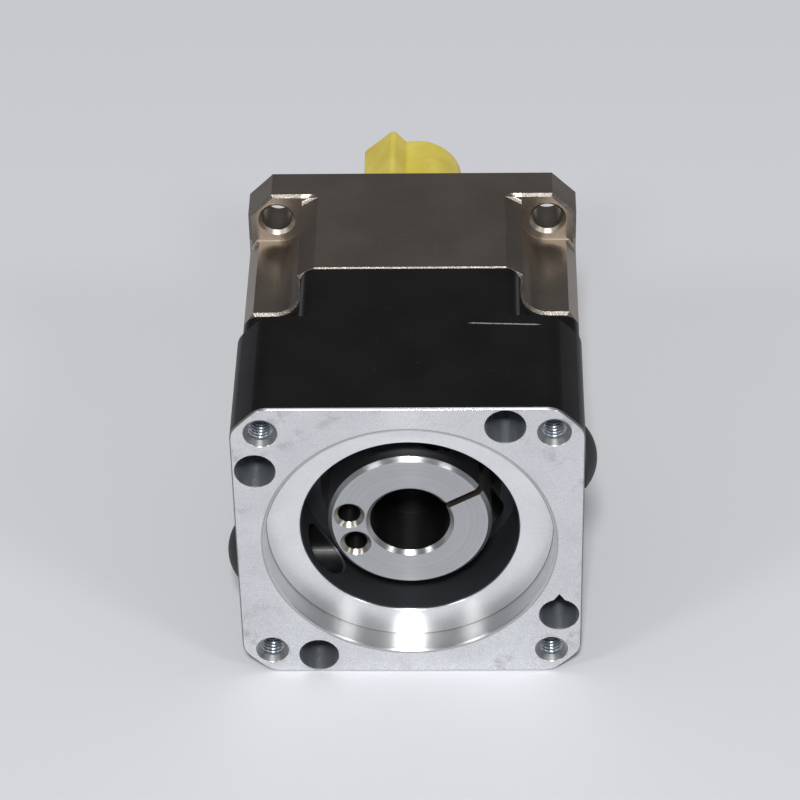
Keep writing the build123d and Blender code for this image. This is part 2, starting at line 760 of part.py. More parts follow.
# Yellow sleeve over the output shaft and its key
sleeve_r = shaft_r + slip_gap + sleeve_wall
key_top = shaft_r - key_seat + key_height
with BuildPart() as shaft_sleeve:
    with BuildSketch(across(sleeve_end)) as sleeve_section:
        Circle(sleeve_r)
        with Locations(Location((0, 0, 0), (0, 0, key_angle))):
            ridge_reach = key_top + slip_gap + sleeve_key_wall
            ridge_width = key_width + 2 * (slip_gap + sleeve_key_wall)
            Rectangle(ridge_reach, ridge_width, align=(Align.MIN, Align.CENTER))
        fillet(within_circle(sleeve_section.vertices(), sleeve_r + 0.1, half), 2 * sleeve_fillet)
        fillet(within_circle(sleeve_section.vertices(), sleeve_r - 0.1, sleeve_r + 0.1), sleeve_fillet)
    extrude(amount=sleeve_length)
    fillet(shaft_sleeve.faces().sort_by(Axis.Y)[-1].edges(), sleeve_fillet)
    with BuildSketch(across(sleeve_end - sleeve_end_wall)):
        Circle(shaft_r + slip_gap)
        with Locations(Location((0, 0, 0), (0, 0, key_angle))):
            Rectangle(key_top + slip_gap, key_width + 2 * slip_gap, align=(Align.MIN, Align.CENTER))
    extrude(amount=sleeve_length - sleeve_end_wall, mode=Mode.SUBTRACT)
keep(shaft_sleeve, "shaft_sleeve")
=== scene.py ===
import json
import logging
import math
from dataclasses import dataclass, field
from enum import Enum

import bmesh
import bpy
import numpy as np
from mathutils import Matrix, Vector


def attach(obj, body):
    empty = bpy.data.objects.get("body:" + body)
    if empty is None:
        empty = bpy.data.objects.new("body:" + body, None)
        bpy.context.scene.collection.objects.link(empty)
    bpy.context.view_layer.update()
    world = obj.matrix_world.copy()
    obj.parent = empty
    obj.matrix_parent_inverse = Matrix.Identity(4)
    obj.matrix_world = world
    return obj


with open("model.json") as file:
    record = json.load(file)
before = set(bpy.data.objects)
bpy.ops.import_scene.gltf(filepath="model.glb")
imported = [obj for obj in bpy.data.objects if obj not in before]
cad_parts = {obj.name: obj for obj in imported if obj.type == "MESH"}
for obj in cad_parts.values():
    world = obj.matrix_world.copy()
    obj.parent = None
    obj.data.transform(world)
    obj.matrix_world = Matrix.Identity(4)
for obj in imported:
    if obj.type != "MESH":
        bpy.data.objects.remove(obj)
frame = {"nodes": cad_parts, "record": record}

# Planetary gear reducer: its looks around the CAD frame.
# Metres, in the frame's own axes: +Y out along the output shaft, +Z up.

LOG = logging.getLogger("gear_reducer")
MM = 0.001
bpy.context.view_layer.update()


class Slot(Enum):
    """Names of the record's material slots."""

    NICKEL = "nickel_steel"
    ADAPTER = "black_anodised"
    GROUND = "ground_steel"
    GEAR = "gear_steel"
    BEARING = "bearing_steel"
    SPRING = "spring_steel"
    SCREW = "black_screw"
    RUBBER = "black_rubber"
    SLEEVE = "yellow_plastic"


class Body(Enum):
    """Names of the CAD bodies that pieces ride on."""

    GEARBOX = "gearbox_body"
    OUTPUT = "output_carrier"
    INPUT = "input_rotor"
    FRONT_BALLS = "front_ball_set"
    REAR_BALLS = "rear_ball_set"
    INPUT_BALLS = "input_ball_set"


# Shader graphs


class Graph:
    """A shader or group node tree with short calls for adding and joining nodes."""

    def __init__(self, tree: bpy.types.NodeTree) -> None:
        """Keeps the tree that the calls build in.

        Args:
            tree: The node tree of a material, a world or a node group.
        """
        self.tree = tree

    def add(self, kind: str, **settings: object) -> bpy.types.Node:
        """Adds a node and sets its properties.

        Args:
            kind: The node's class name without its ShaderNode prefix, or in full.
            settings: Properties of the node by name.

        Returns:
            The new node.
        """
        name = kind if kind.startswith("Node") else "ShaderNode" + kind
        node = self.tree.nodes.new(name)
        for key, value in settings.items():
            setattr(node, key, value)
        return node

    def join(self, source: object, target: bpy.types.NodeSocket) -> None:
        """Links an output socket to an input, or sets the input to a plain value.

        Args:
            source: An output socket, a number or a tuple.
            target: The input socket.
        """
        if isinstance(source, bpy.types.NodeSocket):
            self.tree.links.new(source, target)
        elif isinstance(source, tuple) and len(source) == 3 and target.type == "RGBA":
            target.default_value = (*source, 1.0)
        else:
            target.default_value = source

    def math(self, operation: str, first: object, second: object = 0.0) -> bpy.types.NodeSocket:
        """Adds a Math node.

        Args:
            operation: The node's operation.
            first: First value or socket.
            second: Second value or socket.

        Returns:
            The result's socket.
        """
        node = self.add("Math", operation=operation)
        self.join(first, node.inputs[0])
        self.join(second, node.inputs[1])
        return node.outputs[0]

    def times(self, first: object, second: object) -> bpy.types.NodeSocket:
        """Returns the product of two values."""
        return self.math("MULTIPLY", first, second)

    def length(self, first: object, second: object) -> bpy.types.NodeSocket:
        """Returns the length of the vector with these two parts."""
        return self.math("SQRT", self.math("ADD", self.times(first, first), self.times(second, second)))

    def fade(self, value: object, low: object, high: object) -> bpy.types.NodeSocket:
        """A smooth step that is 0 at low and 1 at high.

        Args:
            value: The value or socket to read.
            low: Where the step starts.
            high: Where the step ends.

        Returns:
            The step's socket, from 0 to 1.
        """
        node = self.add("MapRange", interpolation_type="SMOOTHSTEP", clamp=True)
        self.join(value, node.inputs["Value"])
        self.join(low, node.inputs["From Min"])
        self.join(high, node.inputs["From Max"])
        return node.outputs["Result"]

    def between(self, value: object, low: float, high: float, soft: float) -> bpy.types.NodeSocket:
        """A mask that is 1 between two values.

        Args:
            value: The value or socket to read.
            low: Lower end.
            high: Upper end.
            soft: Width of each end's fade.

        Returns:
            The mask's socket, from 0 to 1.
        """
        rise = self.fade(value, low - soft, low)
        fall = self.fade(value, high + soft, high)
        return self.math("MULTIPLY", rise, fall)

    def blend(self, factor: object, first: object, second: object) -> bpy.types.NodeSocket:
        """Mixes two colours.

        Args:
            factor: 0 gives the first colour, 1 the second.
            first: A colour or its socket.
            second: A colour or its socket.

        Returns:
            The mixed colour's socket.
        """
        node = self.add("Mix", data_type="RGBA", blend_type="MIX")
        self.join(factor, node.inputs[0])
        self.join(first, node.inputs[6])
        self.join(second, node.inputs[7])
        return node.outputs[2]

    def mix(self, factor: object, first: object, second: object) -> bpy.types.NodeSocket:
        """Mixes two numbers.

        Args:
            factor: 0 gives the first number, 1 the second.
            first: A number or its socket.
            second: A number or its socket.

        Returns:
            The mixed number's socket.
        """
        node = self.add("Mix", data_type="FLOAT")
        self.join(factor, node.inputs[0])
        self.join(first, node.inputs[2])
        self.join(second, node.inputs[3])
        return node.outputs[0]

    def noise(self, where: object, scale: float, detail: float = 3.0,
              roughness: float = 0.5) -> bpy.types.NodeSocket:
        """Adds a noise texture.

        Args:
            where: The coordinates' socket.
            scale: Spots to the coordinates' unit.
            detail: Finer layers.
            roughness: Strength of the finer layers.

        Returns:
            The noise's socket, about 0.5 on average.
        """
        node = self.add("TexNoise")
        self.join(where, node.inputs["Vector"])
        node.inputs["Scale"].default_value = scale
        node.inputs["Detail"].default_value = detail
        node.inputs["Roughness"].default_value = roughness
        return node.outputs["Fac"]

    def bump(self, height: object, strength: float, distance: float) -> bpy.types.NodeSocket:
        """Adds a Bump node.

        Args:
            height: The height's socket.
            strength: The node's strength.
            distance: Metres for a height of 1.

        Returns:
            The normal's socket.
        """
        node = self.add("Bump")
        node.inputs["Strength"].default_value = strength
        node.inputs["Distance"].default_value = distance
        self.join(height, node.inputs["Height"])
        return node.outputs["Normal"]


def new_group(name: str, inputs: dict[str, float], outputs: list[str]) -> tuple[Graph, dict, dict]:
    """Starts a shader node group with named float inputs and outputs.

    Args:
        name: The group's name.
        inputs: Each input's name and default value.
        outputs: The outputs' names.

    Returns:
        The group's graph, its input sockets by name and its output sockets by name.
    """
    tree = bpy.data.node_groups.new(name, "ShaderNodeTree")
    for label, value in inputs.items():
        socket = tree.interface.new_socket(label, in_out="INPUT", socket_type="NodeSocketFloat")
        socket.default_value = value
    for label in outputs:
        tree.interface.new_socket(label, in_out="OUTPUT", socket_type="NodeSocketFloat")
    graph = Graph(tree)
    source = graph.add("NodeGroupInput")
    sink = graph.add("NodeGroupOutput")
    return graph, {s.name: s for s in source.outputs if s.name}, {s.name: s for s in sink.inputs if s.name}


def millimetres(graph: Graph) -> bpy.types.NodeSocket:
    """Object coordinates counted in millimetres."""
    source = graph.add("TexCoord")
    scaled = graph.add("VectorMath", operation="SCALE")
    graph.join(source.outputs["Object"], scaled.inputs[0])
    scaled.inputs["Scale"].default_value = 1.0 / MM
    return scaled.outputs[0]


class Effects:
    """Node groups that several finishes share, each built once."""

    def __init__(self) -> None:
        """Builds every shared group."""
        self.grain = self._grain()
        self.turning = self._turning()
        self.scuffs = self._scuffs()

    @staticmethod
    def _grain() -> bpy.types.NodeTree:
        """Blasted or plated grain: fine noise over faint broad clouds."""
        graph, given, put = new_group("fine_grain", {"Scale": 9.0, "Cloud Scale": 0.12},
                                      ["Height", "Speck", "Cloud"])
        where = millimetres(graph)
        fine = graph.add("TexNoise")
        graph.join(where, fine.inputs["Vector"])
        graph.join(given["Scale"], fine.inputs["Scale"])
        fine.inputs["Detail"].default_value = 2.0
        broad = graph.add("TexNoise")
        graph.join(where, broad.inputs["Vector"])
        graph.join(given["Cloud Scale"], broad.inputs["Scale"])
        broad.inputs["Detail"].default_value = 3.0
        graph.join(fine.outputs["Fac"], put["Height"])
        graph.join(graph.fade(fine.outputs["Fac"], 0.35, 0.7), put["Speck"])
        graph.join(graph.fade(broad.outputs["Fac"], 0.3, 0.7), put["Cloud"])
        return graph.tree

    @staticmethod
    def _turning() -> bpy.types.NodeTree:
        """Turning marks: height as the sine of the radius about Y, with its pitch unsteady."""
        inputs = {"Marks per mm": 3.0, "Lead": 0.0}
        graph, given, put = new_group("turning_marks", inputs, ["Height", "Radius", "Along", "Tone"])
        where = millimetres(graph)
        split = graph.add("SeparateXYZ")
        graph.join(where, split.inputs[0])
        x, y, z = split.outputs
        radius = graph.length(x, z)
        path = graph.math("ADD", radius, graph.times(y, given["Lead"]))
        rate = graph.times(given["Marks per mm"], 2.0 * math.pi)
        wave = graph.math("SINE", graph.times(path, rate))
        track = graph.add("CombineXYZ")
        graph.join(path, track.inputs[0])
        uneven = graph.noise(track.outputs[0], 5.0, 4.0, 0.7)
        tone = graph.noise(track.outputs[0], 1.3, 3.0, 0.6)
        graph.join(graph.math("ADD", graph.times(wave, 0.35), uneven), put["Height"])
        graph.join(radius, put["Radius"])
        graph.join(y, put["Along"])
        graph.join(graph.fade(tone, 0.3, 0.7), put["Tone"])
        return graph.tree

    @staticmethod
    def _scuffs() -> bpy.types.NodeTree:
        """Handling marks: a few long thin lines where stretched noise crosses its middle."""
        graph, given, put = new_group("scuffs", {"Amount": 0.5}, ["Lines", "Dust"])
        where = millimetres(graph)
        masks = []
        for turn, stretch in ((0.4, (0.05, 0.9, 0.9)), (-0.9, (0.9, 0.05, 0.6)), (1.9, (0.6, 0.7, 0.04))):
            mapping = graph.add("Mapping")
            graph.join(where, mapping.inputs["Vector"])
            mapping.inputs["Rotation"].default_value = (turn, turn * 0.5, turn * 0.3)
            mapping.inputs["Scale"].default_value = stretch
            line = graph.noise(mapping.outputs[0], 1.1, 2.0, 0.6)
            off = graph.math("ABSOLUTE", graph.math("SUBTRACT", line, 0.5))
            masks.append(graph.fade(off, 0.004, 0.0))
        both = graph.math("MAXIMUM", graph.math("MAXIMUM", masks[0], masks[1]), masks[2])
        patch = graph.fade(graph.noise(where, 0.16, 2.0, 0.5), 0.52, 0.66)
        lines = graph.times(graph.times(both, patch), given["Amount"])
        graph.join(lines, put["Lines"])
        specks = graph.add("TexVoronoi")
        graph.join(where, specks.inputs["Vector"])
        specks.inputs["Scale"].default_value = 0.7
        dust = graph.fade(specks.outputs["Distance"], 0.075, 0.045)
        chance = graph.fade(graph.noise(where, 0.35, 1.0, 0.5), 0.56, 0.6)
        graph.join(graph.times(graph.times(dust, chance), given["Amount"]), put["Dust"])
        return graph.tree


EFFECTS = Effects()


def effect(graph: Graph, group: bpy.types.NodeTree, **values: float) -> bpy.types.Node:
    """Places a shared group in a material.

    Args:
        graph: The material's graph.
        group: The shared group.
        values: Input values, with underscores for spaces in their names.

    Returns:
        The group's node.
    """
    node = graph.add("Group")
    node.node_tree = group
    for label, value in values.items():
        node.inputs[label.replace("_", " ")].default_value = value
    return node


@dataclass(frozen=True)
class Finish:
    """A finish with one main colour; each kind adds its own detail."""

    name: str
    colour: tuple[float, float, float]
    roughness: float
    metallic: float = 1.0

    def start(self) -> tuple[bpy.types.Material, Graph, bpy.types.Node]:
        """Makes the material with its Principled BSDF.

        Returns:
            The material, its graph and the shader node.
        """
        material = bpy.data.materials.new(self.name)
        material.use_nodes = True
        material.diffuse_color = (*self.colour, 1.0)
        graph = Graph(material.node_tree)
        shader = material.node_tree.nodes["Principled BSDF"]
        shader.inputs["Base Color"].default_value = (*self.colour, 1.0)
        shader.inputs["Roughness"].default_value = self.roughness
        shader.inputs["Metallic"].default_value = self.metallic
        return material, graph, shader

    def build(self) -> bpy.types.Material:
        """Makes the material; each finish has its own way."""
        raise NotImplementedError

    @staticmethod
    def turned_sheen(graph: Graph, shader: bpy.types.Node, amount: float) -> None:
        """Stretches highlights across turning marks: round each bore, and round the shaft on its faces.

        Args:
            graph: The material's graph.
            shader: Its Principled BSDF.
            amount: How far highlights stretch, from 0 to 1.
        """
        around = graph.add("Tangent", direction_type="RADIAL", axis="Y")
        facing = graph.add("NewGeometry").outputs["True Normal"]
        wall = graph.add("VectorMath", operation="CROSS_PRODUCT")
        graph.join(facing, wall.inputs[0])
        wall.inputs[1].default_value = (0.0, 1.0, 0.0)
        split = graph.add("SeparateXYZ")
        graph.join(facing, split.inputs[0])
        flat = graph.fade(graph.math("ABSOLUTE", split.outputs[1]), 0.6, 0.9)
        tangent = graph.add("Mix", data_type="VECTOR")
        graph.join(flat, tangent.inputs[0])
        graph.join(wall.outputs[0], tangent.inputs[4])
        graph.join(around.outputs[0], tangent.inputs[5])
        graph.join(tangent.outputs[1], shader.inputs["Tangent"])
        shader.inputs["Anisotropic"].default_value = amount
        shader.inputs["Anisotropic Rotation"].default_value = 0.25


@dataclass(frozen=True)
class NickelPlate(Finish):
    """Blasted steel under dull nickel: warm, dark and finely grained, with broken edges painted dark and
    dotted with painted glints.
    """

    ear_back: float = -7.5
    joint_face: float = -30.0
    edge_break: float = 0.5
    flange: float = 60.0
    corner_cut: float = 4.4

    def build(self) -> bpy.types.Material:
        """Makes the material."""
        material, graph, shader = self.start()
        grain = effect(graph, EFFECTS.grain, Scale=4.5, Cloud_Scale=0.09)
        scuffs = effect(graph, EFFECTS.scuffs, Amount=0.35)
        dark = tuple(c * 0.78 for c in self.colour)
        pale = tuple(min(1.0, c * 1.22) for c in self.colour)
        tone = graph.math("ADD", graph.times(grain.outputs["Speck"], 0.55),
                          graph.times(grain.outputs["Cloud"], 0.45))
        colour = graph.blend(tone, dark, pale)
        edge, crease = self.edges(graph)
        # Painted highlight: pale glint spots on the broken edges; the rest of each chamfer is painted dark.
        painted_glint_spots = graph.fade(graph.noise(millimetres(graph), 6.0, 3.0, 0.7), 0.48, 0.70)
        broken = graph.blend(painted_glint_spots, tuple(c * 0.35 for c in self.colour), (0.58, 0.55, 0.50))
        colour = graph.blend(edge, colour, broken)
        # Painted highlight: a pale line along the crease where the ears' backs meet the notch walls.
        colour = graph.blend(graph.times(crease, 0.6), colour, (0.80, 0.76, 0.70))
        colour = graph.blend(scuffs.outputs["Lines"], colour, (0.62, 0.59, 0.55))
        graph.join(colour, shader.inputs["Base Color"])
        rough = graph.mix(grain.outputs["Speck"], self.roughness - 0.05, self.roughness + 0.06)
        graph.join(graph.mix(edge, rough, 0.46), shader.inputs["Roughness"])
        graph.join(graph.bump(grain.outputs["Height"], 0.35, 0.00006), shader.inputs["Normal"])
        return material

    def edges(self, graph: Graph) -> tuple[bpy.types.NodeSocket, bpy.types.NodeSocket]:
        """Masks of the housing's broken edges, for painted glints, and of the crease where the ears meet the
        notches, for a painted highlight.

        Args:
            graph: The material's graph.

        Returns:
            The mask of the chamfers at the joint and at the ears' backs, and the mask of the crease's
            painted highlight.
        """
        split = graph.add("SeparateXYZ")
        graph.join(millimetres(graph), split.inputs[0])
        x, y, z = (graph.math("ABSOLUTE", way) for way in split.outputs)
        side = self.flange / 2
        end = graph.between(y, -self.joint_face - self.edge_break, -self.joint_face, 0.02)
        behind = graph.between(y, -self.ear_back - self.edge_break, -self.ear_back, 0.02)
        outer = graph.fade(graph.math("MAXIMUM", x, z), side - 0.6, side - 0.5)
        cut_from = self.flange - self.corner_cut - 1.45 * self.edge_break
        cut = graph.fade(graph.math("ADD", x, z), cut_from, cut_from + 0.05)
        ears = graph.times(behind, graph.math("MAXIMUM", outer, cut))
        inner = graph.fade(graph.math("MINIMUM", x, z), self.flange / 3, self.flange / 3 + 0.1)
        ears = graph.times(ears, inner)
        # Mask of the painted highlight: a thin band just behind the ears' backs, on the notch walls.
        crease = graph.times(graph.between(y, -self.ear_back + 0.04, -self.ear_back + 0.16, 0.02),
                             graph.fade(graph.math("MAXIMUM", x, z), side - 0.1, side - 0.2))
        return graph.math("MAXIMUM", end, ears), crease


@dataclass(frozen=True)
class AnodisedAdapter(Finish):
    """Black anodised aluminium whose motor face and register were turned bare afterwards."""

    motor_face: float = -69.5
    register_floor: float = -65.2
    register_r: float = 25.2
    bore_r: float = 19.0
    edge_chamfer: float = 0.25
    sink: float = 0.85
    bare: tuple[float, float, float] = (0.84, 0.85, 0.86)
    ring: tuple[float, float, float] = (0.97, 0.975, 0.98)
    wall: tuple[float, float, float] = (0.66, 0.67, 0.68)
    dull: tuple[float, float, float] = (0.22, 0.22, 0.215)
    bored: tuple[float, float, float] = (0.070, 0.076, 0.084)
    hole_wall: tuple[float, float, float] = (0.48, 0.52, 0.565)
    across_wells: tuple[tuple[float, float], ...] = (
        (-26.0, 16.5), (16.5, 26.0), (26.0, -16.5), (-16.5, -26.0))
    well_r: float = 3.55
    scratch_from: tuple[float, float] = (10.0, -45.9)
    scratch_to: tuple[float, float] = (23.1, -46.5)

    def build(self) -> bpy.types.Material:
        """Makes the material."""
        material, graph, shader = self.start()
        turning = effect(graph, EFFECTS.turning, Marks_per_mm=2.2)
        grain = effect(graph, EFFECTS.grain, Scale=3.2, Cloud_Scale=0.11)
        scuffs = effect(graph, EFFECTS.scuffs, Amount=0.6)
        radius, along = turning.outputs["Radius"], turning.outputs["Along"]
        chamfer_end = self.motor_face + self.edge_chamfer
        face = graph.fade(along, chamfer_end + 0.06, chamfer_end + 0.02)
        outline = graph.times(graph.fade(along, self.motor_face + 0.02, self.motor_face + 0.06),
                              graph.fade(radius, self.register_r + 1.0, self.register_r + 1.2))
        in_register = graph.between(radius, self.bore_r + 0.02, self.register_r + 0.5, 0.02)
        above_floor = graph.fade(along, self.register_floor + 0.12, self.register_floor + 0.06)
        register = graph.times(in_register, above_floor)
        holes, chamfers, rims = self.holes(graph)
        bare = graph.math("MAXIMUM", graph.math("MAXIMUM", face, register), chamfers)
        dull = graph.times(bare, graph.math("MAXIMUM", outline, chamfers))
        cloud = graph.mix(grain.outputs["Cloud"], 0.93, 1.0)
        fine = graph.mix(grain.outputs["Speck"], 0.95, 1.0)
        tone = graph.times(graph.times(cloud, fine), self.edge_grime(graph, radius))
        on_wall = graph.times(register, graph.fade(radius, self.register_r - 0.32, self.register_r - 0.26))
        turned = graph.blend(on_wall, self.ring, self.wall)
        bare_colour = graph.add("VectorMath", operation="SCALE")
        graph.join(graph.blend(register, self.bare, turned), bare_colour.inputs[0])
        graph.join(tone, bare_colour.inputs["Scale"])
        stain = graph.between(radius, self.register_r + 0.28, self.register_r + 0.36, 0.08)
        stains_and_shade = graph.blend(graph.times(stain, 0.55), bare_colour.outputs[0], (0.30, 0.24, 0.18))
        # Painted shade: a dark ring in the corner where the register's floor meets its wall.
        painted_corner_shade = graph.times(graph.between(radius, self.register_r - 0.34, self.register_r - 0.26, 0.05),
                             graph.fade(along, self.register_floor - 0.25, self.register_floor - 0.1))
        stains_and_shade = graph.blend(graph.times(painted_corner_shade, 0.75), stains_and_shade, (0.20, 0.20, 0.20))
        stains_and_shade = graph.blend(graph.times(dull, 0.85), stains_and_shade, self.dull)
        dirt = graph.times(scuffs.outputs["Dust"], 0.9)
        stains_and_shade = graph.blend(dirt, stains_and_shade, (0.22, 0.19, 0.16))
        black = graph.blend(grain.outputs["Cloud"], self.colour, tuple(c * 1.7 for c in self.colour))
        black = graph.blend(scuffs.outputs["Dust"], black, (0.10, 0.10, 0.10))
        bored = graph.fade(radius, self.bore_r + 0.4, self.bore_r + 0.1)
        black = graph.blend(bored, black, self.bored)
        black = graph.blend(holes, black, self.hole_wall)
        colour = graph.blend(bare, black, stains_and_shade)
        scratch = self.scratch(graph)
        graph.join(graph.blend(scratch, colour, (0.78, 0.77, 0.72)), shader.inputs["Base Color"])
        metal = graph.math("MAXIMUM", graph.math("MAXIMUM", bare, scratch), graph.times(holes, 0.9))
        metal = graph.math("MAXIMUM", metal, graph.times(bored, 0.7))
        graph.join(metal, shader.inputs["Metallic"])
        bare_rough = graph.mix(grain.outputs["Speck"], 0.27, 0.30)
        bare_rough = graph.mix(register, bare_rough, 0.30)
        bare_rough = graph.mix(dull, bare_rough, 0.58)
        black_rough = graph.mix(grain.outputs["Speck"], self.roughness - 0.04, self.roughness + 0.06)
        graph.join(graph.mix(bare, black_rough, bare_rough), shader.inputs["Roughness"])
        marked = graph.times(turning.outputs["Height"], graph.mix(register, 0.15, 0.5))
        ringed = graph.times(self.bored_marks(graph), graph.math("MAXIMUM", bored, holes))
        marked = graph.math("ADD", marked, ringed)
        grained = graph.times(grain.outputs["Height"], graph.mix(bare, 0.4, 0.12))
        height = graph.math("SUBTRACT", graph.math("ADD", marked, grained), graph.times(rims, 9.0))
        graph.join(graph.bump(height, 0.12, 0.00004), shader.inputs["Normal"])
        shader.inputs["Specular IOR Level"].default_value = 0.2
        self.turned_sheen(graph, shader, 0.8)
        return material

    def edge_grime(self, graph: Graph, radius: bpy.types.NodeSocket) -> bpy.types.NodeSocket:
        """Tone of the face: patches of dull grime, thickest near the edges and round the holes.

        Args:
            graph: The material's graph.
            radius: The distance from the shaft's axis, in millimetres.

        Returns:
            The tone, 1 where the face is clean.
        """
        where = millimetres(graph)
        patch = graph.fade(graph.noise(where, 0.35, 5.0, 0.62), 0.50, 0.72)
        outer = graph.fade(radius, 26.0, 33.0)
        return graph.math("SUBTRACT", 1.0, graph.times(graph.times(patch, outer), 0.28))

    def bored_marks(self, graph: Graph) -> bpy.types.NodeSocket:
        """Turning marks that run round the bore's wall, one behind another along Y."""
        marks = effect(graph, EFFECTS.turning, Marks_per_mm=2.4, Lead=1.0)
        return marks.outputs["Height"]

    def holes(self, graph: Graph) -> tuple[bpy.types.NodeSocket, bpy.types.NodeSocket, bpy.types.NodeSocket]:
        """Masks of the holes in the motor face.

        Args:
            graph: The material's graph.

        Returns:
            The mask of the machined walls, the mask of the tapped holes' chamfers and, round the wells'
            mouths, the fall of a small broken edge from 0 to 1.
        """
        where = millimetres(graph)
        split = graph.add("SeparateXYZ")
        graph.join(where, split.inputs[0])
        x, y, z = split.outputs
        tap = 70.0 / math.sqrt(2.0) / 2.0
        walls, chamfers, rims = 0.0, 0.0, 0.0
        taps = [(sx * tap, sz * tap) for sx in (-1, 1) for sz in (-1, 1)]
        for place, (cx, cz) in enumerate([*self.across_wells, *taps]):
            dx, dz = graph.math("SUBTRACT", x, cx), graph.math("SUBTRACT", z, cz)
            gap = graph.length(dx, dz)
            if place < len(self.across_wells):
                near = graph.fade(gap, self.well_r + 0.12, self.well_r + 0.06)
                rims = graph.math("MAXIMUM", rims, graph.fade(gap, self.well_r + 0.3, self.well_r))
            else:
                near = graph.fade(gap, 3.3, 3.2)
                rim_end = self.motor_face + self.sink
                rim = graph.times(near, graph.between(y, self.motor_face + 0.05, rim_end, 0.04))
                chamfers = graph.math("MAXIMUM", chamfers, rim)
            walls = graph.math("MAXIMUM", walls, graph.times(near, graph.fade(y, -50.0, -52.0)))
        return walls, chamfers, rims

    def scratch(self, graph: Graph) -> bpy.types.NodeSocket:
        """Mask of the one thin bright scratch on the top of the block."""
        where = millimetres(graph)
        (x0, y0), (x1, y1) = self.scratch_from, self.scratch_to
        middle = ((x0 + x1) / 2, (y0 + y1) / 2)
        mapping = graph.add("Mapping", vector_type="TEXTURE")
        graph.join(where, mapping.inputs["Vector"])
        mapping.inputs["Location"].default_value = (*middle, 30.0)
        mapping.inputs["Rotation"].default_value = (0.0, 0.0, math.atan2(y1 - y0, x1 - x0))
        split = graph.add("SeparateXYZ")
        graph.join(mapping.outputs[0], split.inputs[0])
        run, side, up = split.outputs
        half_length = math.hypot(x1 - x0, y1 - y0) / 2
        taper = graph.fade(graph.math("ABSOLUTE", run), half_length, half_length - 1.5)
        width = graph.times(graph.noise(where, 1.4, 3.0, 0.7), 0.32)
        line = graph.math("LESS_THAN", graph.math("ABSOLUTE", side), graph.times(width, taper))
        top = graph.math("GREATER_THAN", up, -0.2)
        return graph.times(graph.times(line, top), 0.85)


@dataclass(frozen=True)
class TurnedSteel(Finish):
    """Turned and ground steel, with marks round the shaft."""

    marks: float = 2.6
    lead: float = 1.0
    depth: float = 0.25

    def build(self) -> bpy.types.Material:
        """Makes the material."""
        material, graph, shader = self.start()
        turning = effect(graph, EFFECTS.turning, Marks_per_mm=self.marks, Lead=self.lead)
        grain = effect(graph, EFFECTS.grain, Scale=4.0, Cloud_Scale=0.15)
        scuffs = effect(graph, EFFECTS.scuffs, Amount=0.5)
        dark = tuple(c * 0.88 for c in self.colour)
        colour = graph.blend(turning.outputs["Tone"], dark, self.colour)
        shade = graph.times(grain.outputs["Cloud"], 0.12)
        colour = graph.blend(shade, colour, tuple(c * 0.6 for c in self.colour))
        colour = graph.blend(scuffs.outputs["Dust"], colour, (0.12, 0.11, 0.10))
        graph.join(colour, shader.inputs["Base Color"])
        rough = graph.mix(turning.outputs["Tone"], self.roughness, self.roughness + 0.07)
        graph.join(rough, shader.inputs["Roughness"])
        height = graph.math("ADD", turning.outputs["Height"], graph.times(grain.outputs["Height"], 0.3))
        graph.join(graph.bump(height, self.depth, 0.00003), shader.inputs["Normal"])
        self.turned_sheen(graph, shader, 0.75)
        self.detail(graph, shader, colour, rough)
        return material

    def detail(self, graph: Graph, shader: bpy.types.Node, colour: bpy.types.NodeSocket,
               rough: bpy.types.NodeSocket) -> None:
        """Adds what one piece alone has; most have nothing more."""


